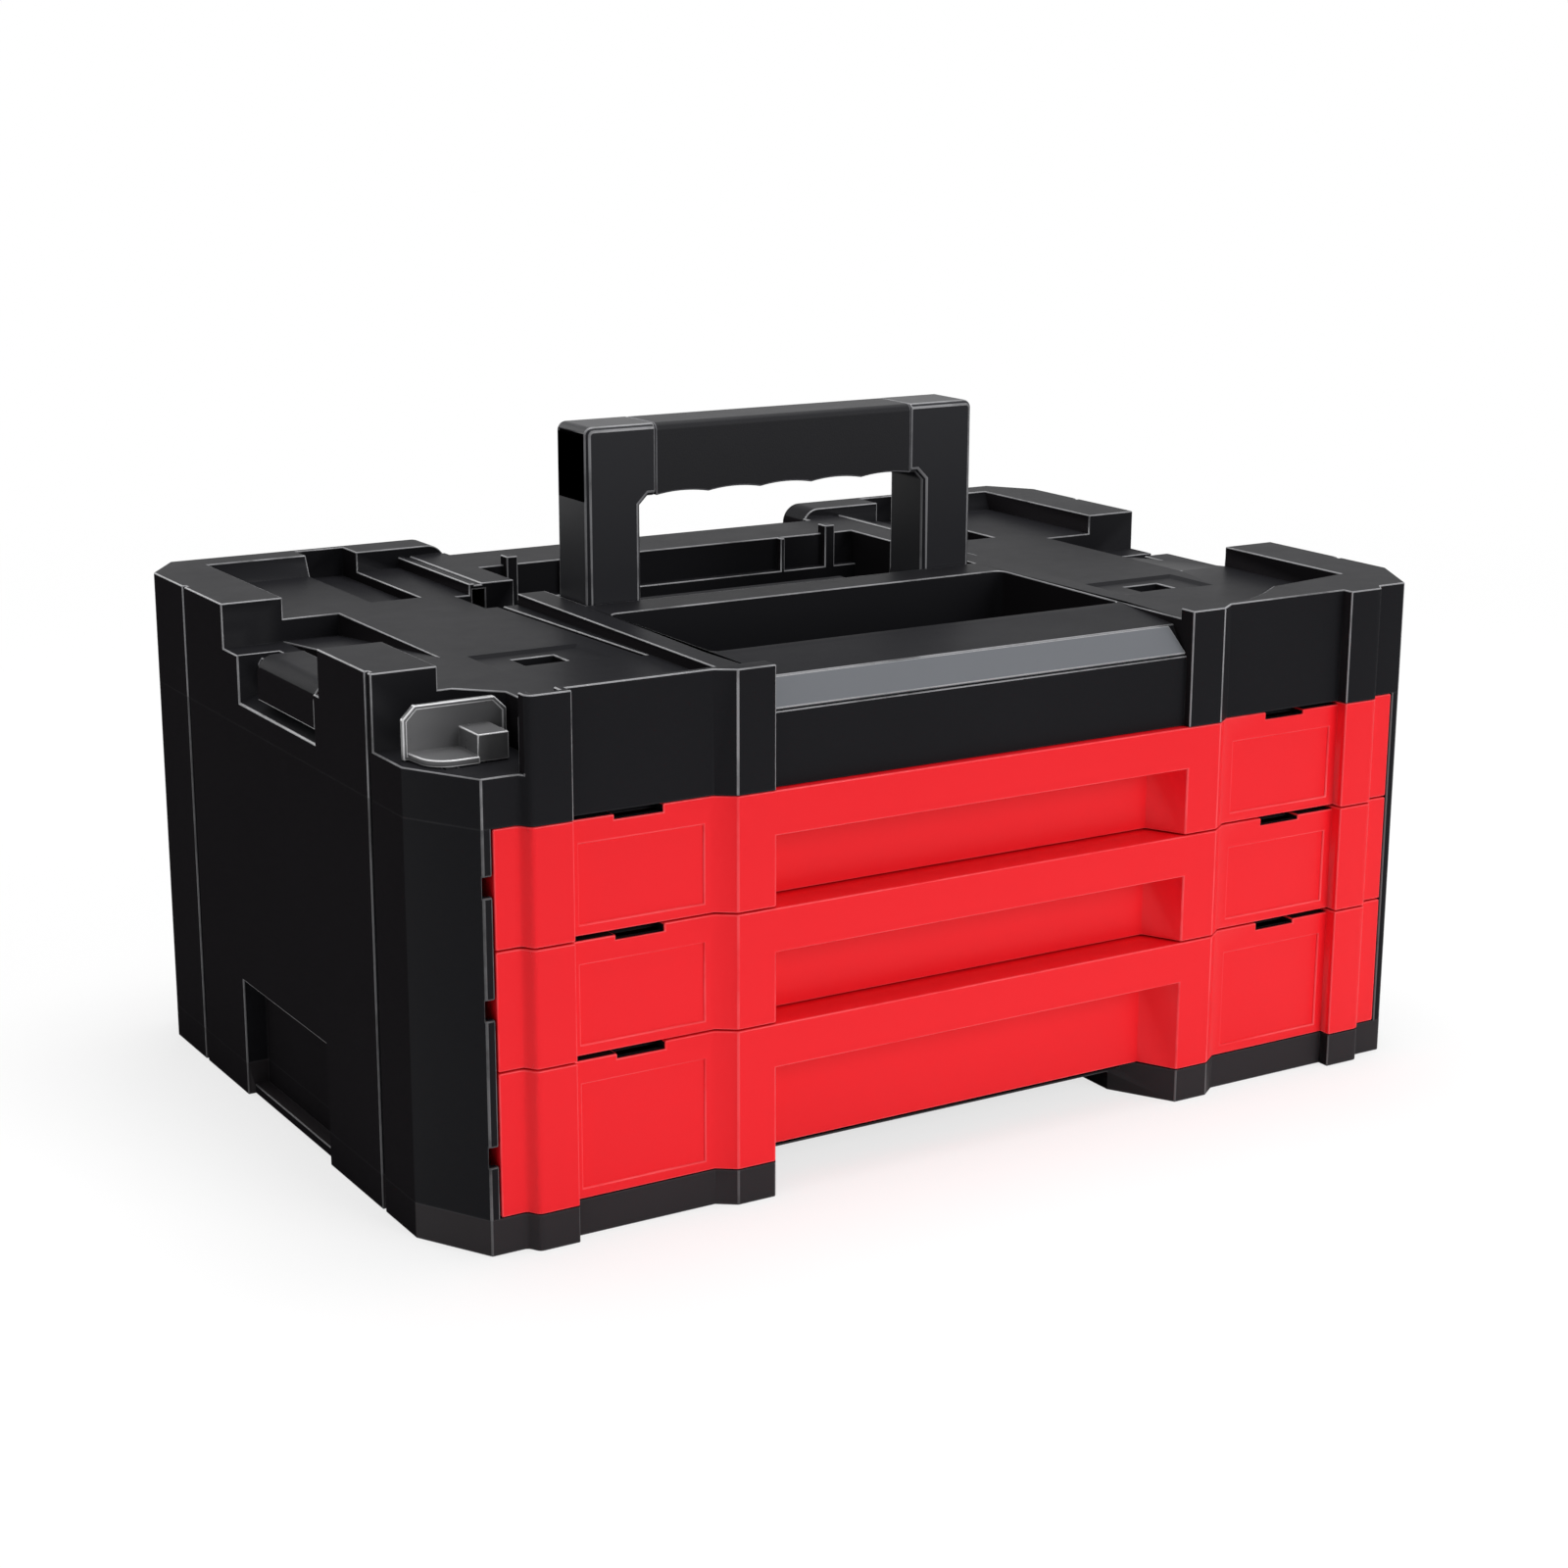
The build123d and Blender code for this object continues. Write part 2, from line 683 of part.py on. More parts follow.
def cut_middle():
    """The accent slope, the ledge behind it, the parts bin and the handle's pocket."""
    (low_y, low_z), (high_y, high_z) = strip_line()
    run = hypot(high_y - low_y, high_z - low_z)
    shift_y = strip_thick * (high_z - low_z) / run
    shift_z = -strip_thick * (high_y - low_y) / run
    side_prism(
        [
            (low_y - 2 * wall, low_z + shift_z),
            (low_y + shift_y, low_z + shift_z),
            (high_y + shift_y, high_z + shift_z),
            (high_y + shift_y, high_z),
            (bin_front, land_z),
            (bin_front, rim_z + wall),
            (low_y - 2 * wall, rim_z + wall),
        ],
        (-pull_half, pull_half),
        Mode.SUBTRACT,
    )
    with BuildSketch(Plane.XY.offset(land_z - bin_depth)) as bin_floor:
        with Locations((0, (bin_front + bin_rear) / 2)):
            RectangleRounded(2 * bin_half, bin_rear - bin_front, bin_radius)
    extrude(bin_floor.sketch, amount=bin_depth + wall, mode=Mode.SUBTRACT)
    ledge_y = pocket_rear - pocket_ledge
    floor_z = land_z - pocket_depth
    block((-pocket_half, pocket_half), (pocket_front, ledge_y), (floor_z, rim_z), Mode.SUBTRACT)
    block((-pocket_half, pocket_half), (ledge_y, pocket_rear), (ledge_z, rim_z), Mode.SUBTRACT)
    # The floor stands higher where the folded handle leaves room between its legs and its bar
    island = handle_half - leg_width - island_gap
    island_rear = pivot_y + handle_top - grip_depth - pivot_z - island_gap
    block((-island, island), (pocket_front, island_rear), (floor_z, land_z - island_drop))
    for side in (-1, 1):
        # Gusset on the finger ledge, and the stop that stands up behind the folded handle
        block(sided(side, gusset_x - 1, gusset_x + 1), (ledge_y, pocket_rear), (ledge_z, land_z))
        block(sided(side, stop_x, stop_x + stop_width), (ledge_y, pocket_rear + wall), (ledge_z, rim_z))


def cut_wing_details(side):
    """Stacking slot in its dish, the groove, the rear channel, and the rail with its well."""
    dish = sided(side, slot_in - dish_margin, slot_out + dish_margin)
    with BuildSketch(Plane.XY.offset(wing_z)) as mouth:
        with Locations(((dish[0] + dish[1]) / 2, (slot_front + slot_rear) / 2)):
            Rectangle(dish[1] - dish[0], slot_rear - slot_front + 2 * dish_margin_y)
    extrude(mouth.sketch, amount=-dish_drop, taper=dish_taper, mode=Mode.SUBTRACT)
    block(sided(side, slot_in, slot_out), (slot_front, slot_rear), (wing_z - slot_drop, wing_z),
          Mode.SUBTRACT)
    well_front = rail_front - well_length
    toe = land_half + groove_toe
    far = toe + groove_spread
    prism([(side * toe, groove_front), (side * (toe + groove_width), groove_front),
           (side * (far + groove_width), well_front + 1), (side * far, well_front + 1)],
          (wing_z - groove_drop, wing_z), Mode.SUBTRACT)
    block(sided(side, inner_block_out, outer_block_in), (channel_front, rear_y - wall),
          (rim_z - channel_drop, rim_z + wall), Mode.SUBTRACT)
    block(sided(side, land_half, rail_out), (rail_front, rear_block_front), (wing_z, land_z))
    block(sided(side, land_half + sheet, rail_out - sheet), (rail_front, rear_block_front),
          (land_z - seam, land_z), Mode.SUBTRACT)
    block(sided(side, pocket_half - 1, well_out), (well_front, rail_front), (well_z, rim_z), Mode.SUBTRACT)
    block(sided(side, land_half + 1, rail_out - 1.5), (rail_front, rail_front + rail_mouth),
          (well_z + 1, land_z - sheet), Mode.SUBTRACT)
    # The outer rear block's inner face slopes
    foot = rear_block_front
    side_prism([(foot - 1, wing_z), (foot, wing_z), (foot + 4, rim_z), (foot + 4, rim_z + 1),
                (foot - 1, rim_z + 1)],
               sided(side, outer_block_in, block_in), Mode.SUBTRACT)


def latch_pivot(side):
    """Place of the latch pivot in x and z."""
    return side * (half_width - latch_pivot_in), rim_z - latch_pivot_drop


def cut_latch_bay(side):
    """The notch through the side rim, the trough beside it and the bay of the latch under it."""
    block(sided(side, block_in, half_width + wall), (notch_front, notch_rear), (notch_floor, rim_z + wall),
          Mode.SUBTRACT)
    side_prism([(notch_front, wing_z), (notch_rear, notch_floor), (notch_rear, rim_z), (notch_front, rim_z)],
               sided(side, trough_in, block_in), Mode.SUBTRACT)
    bay_floor = rim_z - bay_drop
    points = [
        (bay_in, bay_floor + bay_slope),
        (half_width + wall, bay_floor),
        (half_width + wall, notch_floor),
        (bay_in, notch_floor),
    ]
    with BuildSketch(Plane.XZ.offset(-bay_rear)) as section:
        with BuildLine():
            Polyline(*[(side * x, z) for x, z in points], close=True)
        make_face()
    extrude(section.sketch, amount=bay_rear - bay_front, mode=Mode.SUBTRACT)
    # A web behind the latch carries the pin
    pin_x, pin_z = latch_pivot(side)
    web_y = bay_front + latch_gap + latch_length + web_gap
    block(sided(side, bay_in, half_width - latch_pivot_in + latch_barrel_r), (web_y, web_y + web_thick),
          (bay_floor + bay_slope, notch_floor))
    rod(latch_pin_r + pin_fit, (pin_x, bay_front - latch_pin_reach, pin_z), (0, 1, 0),
        bay_rear - bay_front + 2 * latch_pin_reach, Mode.SUBTRACT)


def cut_niche():
    """The open corner niche of the lock tab, and the slot that the lock bar passes through."""
    beyond = half_width + wall
    front_end = column_out + 3
    prism([(-beyond, niche_rear), (-niche_corner, niche_rear), (-niche_side, niche_rear - 14),
           (-niche_side, front_y + 19), (-front_end, strip_y + 2),
           (-front_end, front_y - wall), (-beyond, front_y - wall)],
          (niche_z, rim_z + wall), Mode.SUBTRACT)
    block((-bar_out - seam, -bar_in + seam), (bar_front - seam, bar_rear + seam), (deck_z, niche_z),
          Mode.SUBTRACT)


def cut_underside():
    """The deck is a thin moulding: its underside follows the hollows of its top."""
    hollow_in = land_half + sheet / 5
    hollow_out = block_in - 2 * sheet
    front_end = front_back + wall
    rear_end = liner_rear - 2 * wall
    shelf_z = wing_z - groove_drop - sheet
    well_front = rail_front - well_length
    for side in (-1, 1):
        block(sided(side, bin_half + sheet, inner_wall - 2 * wall), (front_end, rear_end),
              (deck_z, rim_z - bay_drop - sheet), Mode.SUBTRACT)
        # Beside the niche, then behind it up to the well in front of the rail
        slot_floor = wing_z - slot_drop - sheet
        block(sided(side, hollow_in, niche_side - niche_skin), (front_end, niche_rear + sheet),
              (deck_z, slot_floor), Mode.SUBTRACT)
        block(sided(side, hollow_in, hollow_out), (niche_rear + sheet, well_front - sheet),
              (deck_z, slot_floor), Mode.SUBTRACT)
        block(sided(side, hollow_in, trough_in - sheet), (slot_rear + sheet, well_front - sheet),
              (deck_z, shelf_z), Mode.SUBTRACT)
        # Outside the well, and again under the rear channel
        block(sided(side, well_out + sheet, hollow_out), (well_front - sheet, rear_block_front),
              (deck_z, notch_floor - sheet), Mode.SUBTRACT)
        block(sided(side, well_out + sheet, trough_in - sheet), (well_front - sheet, channel_front - sheet),
              (deck_z, shelf_z), Mode.SUBTRACT)
        block(sided(side, hollow_in, hollow_out), (well_front - sheet, rear_block_front),
              (deck_z, well_z - sheet), Mode.SUBTRACT)
        block(sided(side, hollow_in, hollow_out), (rail_front + rail_mouth + sheet, rear_block_front),
              (deck_z, rim_z - channel_drop - sheet), Mode.SUBTRACT)
    block((-bin_half - sheet, bin_half + sheet), (pocket_front + 4, rear_end),
          (deck_z, land_z - pocket_depth - sheet), Mode.SUBTRACT)
    block((-bin_half, bin_half), (pocket_rear + sheet, rear_y - 2 * wall), (deck_z, wing_z - sheet),
          Mode.SUBTRACT)
    block((-bin_half, bin_half), (pocket_rear + sheet, land_rear - sheet), (deck_z, land_z - sheet),
          Mode.SUBTRACT)
    block((-pull_half + sheet, pull_half - sheet), (front_y + 2 * panel_setback + sheet, bin_front - sheet),
          (deck_z, rim_z - strip_low_drop - sheet), Mode.SUBTRACT)
    block((-bin_half, bin_half), (bin_front - sheet, pocket_front + 4), (deck_z, land_z - bin_depth - sheet),
          Mode.SUBTRACT)


def make_deck():
    with BuildPart() as deck:
        extrude(front_plan(deck_z, front_y + centre_setback, corner_ends), amount=deck_height)
        cut_wings()
        cut_middle()
        for side in (-1, 1):
            cut_wing_details(side)
            cut_latch_bay(side)
            for y in (side_groove_front, side_groove_rear):
                block(sided(side, half_width - side_groove_depth, half_width + wall),
                      (y - side_groove_width / 2, y + side_groove_width / 2), (deck_z, rim_z),
                      Mode.SUBTRACT)
            rod(handle_pin_r + pin_fit / 2, (side * pocket_half, pivot_y, pivot_z), (side, 0, 0),
                handle_pin_grip, Mode.SUBTRACT)
        cut_niche()
        cut_underside()
    return deck


def make_accent_strip():
    """The sloped strip along the front of the deck, with slanted ends."""
    (low_y, low_z), (high_y, high_z) = strip_line()
    run = hypot(high_y - low_y, high_z - low_z)
    tilt = degrees(atan2(high_z - low_z, high_y - low_y))
    face = Plane(origin=(0, low_y, low_z), x_dir=(1, 0, 0), z_dir=(0, low_z - high_z, high_y - low_y))
    with BuildPart() as strip:
        with BuildSketch(face) as outline:
            with BuildLine():
                Polyline((-strip_half, 0), (strip_half, 0), (strip_half - strip_slant, run),
                         (-strip_half + strip_slant, run), close=True)
            make_face()
        extrude(outline.sketch, amount=-strip_thick)
    return strip


# ---------------------------------------------------------------- latches

def make_latch(side):
    """A rocking latch: a barrel on its pin, a hook that leans in, and a finger lip below."""
    pin_x, pin_z = latch_pivot(side)
    x0 = abs(pin_x)
    skin_x = half_width - seam
    inner_x = skin_x - latch_skin
    hook_x = x0 - hook_reach
    hook_z = pin_z + latch_top - hook_thick
    section = [
        (hook_x, pin_z + latch_top),
        (skin_x, pin_z + latch_top),
        (skin_x, pin_z - latch_foot),
        (inner_x, pin_z - latch_foot),
        (inner_x, pin_z - latch_barrel_r),
        (x0 - 1, pin_z - latch_pin_r),
        (x0 - 1, hook_z),
        (hook_x, hook_z),
    ]
    latch_rear = bay_front + latch_gap + latch_length
    with BuildPart() as latch:
        with BuildSketch(Plane.XZ.offset(-latch_rear)) as body:
            with BuildLine():
                Polyline(*[(side * x, z) for x, z in section], close=True)
            make_face()
            corners = body.vertices().group_by(Axis.Y)[-1]
            fillet(corners.sort_by(Axis.X)[-1 if side > 0 else 0], radius=latch_round)
            with Locations((pin_x, pin_z)):
                Circle(latch_barrel_r)
                Circle(latch_pin_r + pin_fit, mode=Mode.SUBTRACT)
        extrude(body.sketch, amount=latch_length)
    return latch


def make_latch_pins():
    with BuildPart() as pins:
        for side in (-1, 1):
            pin_x, pin_z = latch_pivot(side)
            start = (pin_x, bay_front - latch_pin_reach, pin_z)
            rod(latch_pin_r, start, (0, 1, 0), bay_rear - bay_front + 2 * latch_pin_reach)
    return pins


# ---------------------------------------------------------------- drawer lock

def tab_face(depth_y, inset):
    """The tab plate's chamfered outline, drawn at a place in y and pulled in all round."""
    with BuildSketch(Plane.XZ.offset(-depth_y)) as face:
        with Locations((-(tab_left + tab_right) / 2, tab_z + tab_height / 2)):
            Rectangle(tab_left - tab_right - 2 * inset, tab_height - 2 * inset)
        chamfer(face.vertices().group_by(Axis.Y)[-1], length=tab_corner - inset / 2)
    return face.sketch


def make_lock_tab():
    """The tab in the corner niche: an upright framed plate, a finger ledge and a thumb pad."""
    y = tab_plate_y
    ledge_y = y - tab_ledge_depth
    corner_y = ledge_y + tab_round
    corner_x = tab_ledge_out - 1
    bend = tab_round * 0.3
    with BuildPart() as tab:
        extrude(tab_face(y, 0), amount=tab_plate)
        extrude(tab_face(y - tab_plate + tab_relief, tab_frame), amount=tab_relief, mode=Mode.SUBTRACT)
        with BuildSketch(Plane.XY.offset(tab_z)) as ledge:
            with BuildLine():
                Polyline((-tab_ledge_in, y), (-tab_ledge_out, y), (-corner_x, corner_y))
                ThreePointArc((-corner_x, corner_y), (-corner_x + bend, ledge_y + bend),
                              (-corner_x + tab_round, ledge_y))
                Polyline((-corner_x + tab_round, ledge_y), (-tab_ledge_in, ledge_y), (-tab_ledge_in, y))
            make_face()
        extrude(ledge.sketch, amount=tab_ledge)
        block((-tab_ledge_in, -tab_pad_in), (y - tab_pad_depth, y), (tab_z, tab_z + tab_pad_height))
    return tab


def make_lock_bar():
    """The upright bar under the tab, with one finger in front of each drawer's catch."""
    with BuildPart() as bar:
        block((-bar_out, -bar_in), (bar_front, bar_rear), (bar_foot, tab_z))
        for low, height in drawers.values():
            top = low + catch_lift - catch_rest_gap
            block((-bar_in, -bar_in + finger_reach), (bar_front, bar_front + finger_length),
                  (top - finger_height, top))
    return bar


# ---------------------------------------------------------------- handle

def make_handle_frame():
    """Both legs and the bar in one moulding; the bar is slimmer where the grip goes round it."""
    bar_z = handle_top - grip_depth
    inner = handle_half - leg_width
    back = handle_front + handle_depth
    with BuildPart() as frame:
        with BuildSketch(Plane.XZ.offset(-back)) as outline:
            with Locations((0, (pivot_z + handle_top) / 2)):
                Rectangle(2 * handle_half, handle_top - pivot_z)
            fillet(outline.vertices().group_by(Axis.Y)[-1], radius=handle_corner)
            with BuildLine():
                Polyline((-inner, pivot_z), (inner, pivot_z), (inner, bar_z - handle_inner_corner),
                         (inner - handle_inner_corner, bar_z), (-inner + handle_inner_corner, bar_z),
                         (-inner, bar_z - handle_inner_corner), close=True)
            make_face(mode=Mode.SUBTRACT)
        extrude(outline.sketch, amount=handle_depth)
        faces = frame.faces().filter_by(Axis.Y)
        chamfer(faces.edges().filter_by(lambda edge: edge.center().Z > pivot_z + 1), length=handle_edge)
        for side in (-1, 1):
            rod(handle_depth / 2, (side * inner, pivot_y, pivot_z), (side, 0, 0), leg_width)
            rod(handle_pin_r + pin_fit, (side * handle_half, pivot_y, pivot_z), (-side, 0, 0),
                handle_pin_in + seam, Mode.SUBTRACT)
            block(sided(side, handle_half - socket_depth, handle_half + wall),
                  (handle_front + socket_wall, back - socket_wall),
                  (bar_z, handle_top - socket_wall), Mode.SUBTRACT)
        # Core of the bar inside the grip
        block((-grip_half, grip_half), (handle_front - wall, back + wall), (bar_z - wall, handle_top + wall),
              Mode.SUBTRACT)
        block((-grip_half, grip_half), (handle_front + grip_skin, back - grip_skin),
              (bar_z + grip_skin, handle_top - grip_skin))
    return frame


def make_handle_grip():
    """The grip cover: rounded edges and a row of finger waves along its underside."""
    bar_z = handle_top - grip_depth
    back = handle_front + handle_depth
    reach = grip_half - grip_gap
    wave = 2 * reach / wave_count
    with BuildPart() as grip:
        with BuildSketch(Plane.XZ.offset(-back)) as outline:
            with BuildLine():
                for number in range(wave_count):
                    x = -reach + number * wave
                    ThreePointArc((x, bar_z), (x + wave / 2, bar_z + wave_depth), (x + wave, bar_z))
                Polyline((reach, bar_z), (reach, handle_top), (-reach, handle_top), (-reach, bar_z))
            make_face()
        extrude(outline.sketch, amount=handle_depth)
        top = grip.edges().filter_by(Axis.X).group_by(Axis.Z)[-1]
        fillet(top, radius=3)
        block((-grip_half, grip_half), (handle_front + grip_skin, back - grip_skin),
              (bar_z + grip_skin, handle_top - grip_skin), Mode.SUBTRACT)
    return grip


def make_handle_pins():
    with BuildPart() as pins:
        for side in (-1, 1):
            end = pocket_half + handle_pin_grip - 0.2
            rod(handle_pin_r, (side * end, pivot_y, pivot_z), (-side, 0, 0),
                end - handle_half + handle_pin_in)
    return pins


# ---------------------------------------------------------------- build everything

finish(make_base(), "base")
finish(make_base_screws(), "base_screws")
finish(make_side_panel(-1), "left_side_panel")
finish(make_side_panel(1), "right_side_panel")
finish(make_rear_panel(), "rear_panel")
finish(make_runner(-1), "left_runner")
finish(make_runner(1), "right_runner")

organizer_rows = {
    "bottom": (2, 11.0, 17.0, 20.0),
    "middle": (2, 8.0, 13.0, 16.0),
    "top": (3, 6.0, 10.0, 13.0),
}
for place, (low, height) in drawers.items():
    finish(make_front(low, height), f"{place}_drawer_front")
    finish(make_tray(low, height), f"{place}_drawer_tray")
    finish(make_organizer(low, height, *organizer_rows[place]), f"{place}_drawer_organizer")

finish(make_deck(), "deck")
finish(make_accent_strip(), "accent_strip")
finish(make_latch(-1), "left_latch")
finish(make_latch(1), "right_latch")
finish(make_latch_pins(), "latch_pins")
finish(make_lock_tab(), "lock_tab")
finish(make_lock_bar(), "lock_bar")
finish(make_handle_frame(), "handle_frame")
finish(make_handle_grip(), "handle_grip")
finish(make_handle_pins(), "handle_pins")
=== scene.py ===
# %% [markdown]
# # A stackable socket organizer box
#
# The box is already a solid model at its real size. This lesson dresses it: each moulding gets the
# small rounded edges that a mould leaves, and a surface that catches light as the real plastic does.
# The model comes in as a fixed frame, so nothing is placed by eye.

# %% The frame
import bpy
import bmesh
import json
from math import radians, sin, cos
from mathutils import Matrix, Vector
from mathutils.bvhtree import BVHTree
from mathutils.geometry import intersect_point_line


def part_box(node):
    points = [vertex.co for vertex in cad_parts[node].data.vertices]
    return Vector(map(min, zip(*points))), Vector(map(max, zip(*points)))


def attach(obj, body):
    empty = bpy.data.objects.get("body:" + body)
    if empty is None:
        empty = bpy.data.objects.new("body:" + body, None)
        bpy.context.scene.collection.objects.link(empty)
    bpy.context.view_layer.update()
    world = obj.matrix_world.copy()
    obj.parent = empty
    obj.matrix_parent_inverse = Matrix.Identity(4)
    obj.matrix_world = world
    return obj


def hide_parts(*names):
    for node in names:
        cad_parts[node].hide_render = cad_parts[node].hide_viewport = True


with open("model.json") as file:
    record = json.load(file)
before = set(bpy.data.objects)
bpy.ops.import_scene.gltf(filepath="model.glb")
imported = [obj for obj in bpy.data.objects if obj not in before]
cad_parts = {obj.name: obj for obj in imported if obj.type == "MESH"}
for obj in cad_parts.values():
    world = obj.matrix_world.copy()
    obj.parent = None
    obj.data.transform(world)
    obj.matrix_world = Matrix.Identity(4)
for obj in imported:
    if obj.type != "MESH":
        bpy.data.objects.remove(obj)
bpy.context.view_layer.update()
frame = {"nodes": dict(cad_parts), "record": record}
mm = 0.001
body_of = {
    node: body
    for body, nodes in frame["record"]["behaviour"]["bodies"].items()
    for node in nodes
}

# %% [markdown]
# ## The camera
#
# The photograph looks down a little, from the left of the drawers. A camera has to stand at the
# same spot to show the same shape, so its direction, its distance and its lens are written as named
# values. The rotation is built from three axes: the camera looks against `back`, with `right` and
# `up` beside it.

# %% Camera
azimuth = radians(-31.23)
elevation = radians(14.71)
roll = radians(0.16)
aim = Vector((0.0, 0.0, 0.150))
distance = 1.1628
frame_offset = Vector((-0.0007, 0.0392))      # how far the aim lies from the picture's middle
lens = 64.96
sensor_width = 36
far_clip = 50

back = Vector((sin(azimuth) * cos(elevation), -cos(azimuth) * cos(elevation), sin(elevation)))
level = Vector((cos(azimuth), sin(azimuth), 0.0))
upright = back.cross(level)
right = level * cos(roll) + upright * sin(roll)
up = upright * cos(roll) - level * sin(roll)

camera = bpy.data.objects.new("camera", bpy.data.cameras.new("camera"))
bpy.context.scene.collection.objects.link(camera)
camera.data.lens = lens
camera.data.sensor_width = sensor_width
camera.data.clip_end = far_clip
place = aim + back * distance - right * frame_offset.x - up * frame_offset.y
turned = Matrix((right, up, back)).transposed().to_4x4()
camera.matrix_world = Matrix.Translation(place) @ turned
bpy.context.scene.camera = camera
print("camera stands at", [round(value, 3) for value in place])

# %% [markdown]
# ## Building with shader nodes
#
# Every finish is a tree of nodes, and most steps in a tree are the same few: place a node, do a sum,
# mix two colours, or make clouds of noise in the object's own space. Four short functions do these,
# so that a finish reads as a recipe. A fifth tells rays that look at a thing from rays that only
# light it.


# %% Node helpers
def chain(tree, kind, settings=None, **sockets):
    """A new node; settings are attributes, and sockets are values or other nodes' outputs.

    A socket goes by its name, with _ for a space, or by its number as i0, i1 and so on.
    """
    node = tree.nodes.new(kind)
    for key, value in (settings or {}).items():
        setattr(node, key, value)
    for label, value in sockets.items():
        by_number = label[0] == "i" and label[1:].isdigit()
        socket = node.inputs[int(label[1:]) if by_number else label.replace("_", " ")]
        if isinstance(value, bpy.types.NodeSocket):
            tree.links.new(value, socket)
        else:
            socket.default_value = value
    return node


def calculate(tree, operation, first, second):
    """The result of a sum on two values."""
    return chain(tree, "ShaderNodeMath", {"operation": operation}, i0=first, i1=second).outputs[0]


def mix_colours(tree, share, first, second):
    """The first colour where the share is 0, and the second where it is 1."""
    mix = chain(tree, "ShaderNodeMix", {"data_type": "RGBA"}, i0=share, i6=first, i7=second)
    return mix.outputs[2]


def clouds(tree, per_metre, detail, **more):
    """Noise in the object's own space, with so many cells to the metre."""
    where = chain(tree, "ShaderNodeTexCoord")
    noise = chain(tree, "ShaderNodeTexNoise", Vector=where.outputs["Object"], Scale=per_metre,
                  Detail=detail, **more)
    return noise.outputs["Fac"]


def looked_at(tree):
    """1 for rays from the camera, off a gloss or through clear plastic, and 0 for all others."""
    path = chain(tree, "ShaderNodeLightPath")
    seen = calculate(tree, "MAXIMUM", path.outputs["Is Camera Ray"], path.outputs["Is Glossy Ray"])
    return calculate(tree, "MAXIMUM", seen, path.outputs["Is Transmission Ray"])


def opaque(colour):
    """A colour with its fourth channel, as the sockets want it."""
    return tuple(colour) + (1,)


# %% [markdown]
# ## The studio
#
# Dark satin plastic shows its shape by what it mirrors, so the lamps are large and soft: a wide one
# over the box and one in front, and weak ones on the left and behind. The floor is pale and fades
# into a white room. The white comes from the world's colour for the rays that look at it, and never
# from stronger lamps. The floor mixes some of that white into its paper, which thins the shadow and
# the red that the drawers throw on it, but keeps both.

# %% World
bpy.context.scene.view_settings.view_transform = "Standard"
room_light = 0.32            # how brightly the room lights what stands in it
room_seen = 1.0              # how brightly it shows

world = bpy.data.worlds.new("white_room")
bpy.context.scene.world = world
world.use_nodes = True
tree = world.node_tree
tree.nodes.clear()
strength = chain(tree, "ShaderNodeMapRange", Value=looked_at(tree), To_Min=room_light,
                 To_Max=room_seen)
background = chain(tree, "ShaderNodeBackground", Color=(1, 1, 1, 1),
                   Strength=strength.outputs["Result"])
chain(tree, "ShaderNodeOutputWorld", Surface=background.outputs[0])
print("the room lights at", room_light, "and shows at", room_seen)

# %% Floor
floor_size = 9.0
fade_start = 0.36
fade_end = 1.5
paper_colour = (0.93, 0.93, 0.93, 1)
white_share = 0.72           # how much of the floor that is looked at is plain white

half = floor_size / 2
floor_mesh = bpy.data.meshes.new("floor")
floor_mesh.from_pydata([(-half, -half, 0), (half, -half, 0), (half, half, 0), (-half, half, 0)], [],
                       [(0, 1, 2, 3)])
floor = bpy.data.objects.new("floor", floor_mesh)
bpy.context.scene.collection.objects.link(floor)

floor_finish = bpy.data.materials.new("pale_floor")
floor_finish.use_nodes = True
tree = floor_finish.node_tree
tree.nodes.clear()
where = chain(tree, "ShaderNodeTexCoord")
reach = chain(tree, "ShaderNodeVectorMath", {"operation": "LENGTH"}, i0=where.outputs["Object"])
fade = chain(tree, "ShaderNodeMapRange", {"interpolation_type": "SMOOTHSTEP"},
             Value=reach.outputs["Value"], From_Min=fade_start, From_Max=fade_end)
paper = chain(tree, "ShaderNodeBsdfDiffuse", Color=paper_colour)
white = chain(tree, "ShaderNodeEmission")
sheet = chain(tree, "ShaderNodeMixShader",
              Fac=calculate(tree, "MULTIPLY", looked_at(tree), white_share),
              i1=paper.outputs[0], i2=white.outputs[0])
clear = chain(tree, "ShaderNodeBsdfTransparent")
blend = chain(tree, "ShaderNodeMixShader", Fac=fade.outputs["Result"], i1=sheet.outputs[0],
              i2=clear.outputs[0])
chain(tree, "ShaderNodeOutputMaterial", Surface=blend.outputs[0])
floor_mesh.materials.append(floor_finish)
print("floor fades out between", fade_start, "and", fade_end, "m")


# %% Lamps
def softbox(name, spot, size, watts, look_at=(0, 0, 0.12)):
    """A square area lamp that faces the box."""
    lamp = bpy.data.lights.new(name, "AREA")
    lamp.shape = "SQUARE"
    lamp.size = size
    lamp.energy = watts
    holder = bpy.data.objects.new(name, lamp)
    bpy.context.scene.collection.objects.link(holder)
    spot = Vector(spot)
    holder.rotation_euler = (Vector(look_at) - spot).to_track_quat("-Z", "Y").to_euler()
    holder.location = spot
    print("lamp", name, watts, "W")


softbox("overhead_softbox", (0.2, 0.1, 2.2), 1.4, 40)
softbox("front_softbox", (0.9, -2.4, 1.1), 1.6, 36)
softbox("left_softbox", (-2.6, -0.6, 1.0), 1.2, 4)
softbox("rear_softbox", (-0.8, 2.6, 1.0), 1.4, 12)

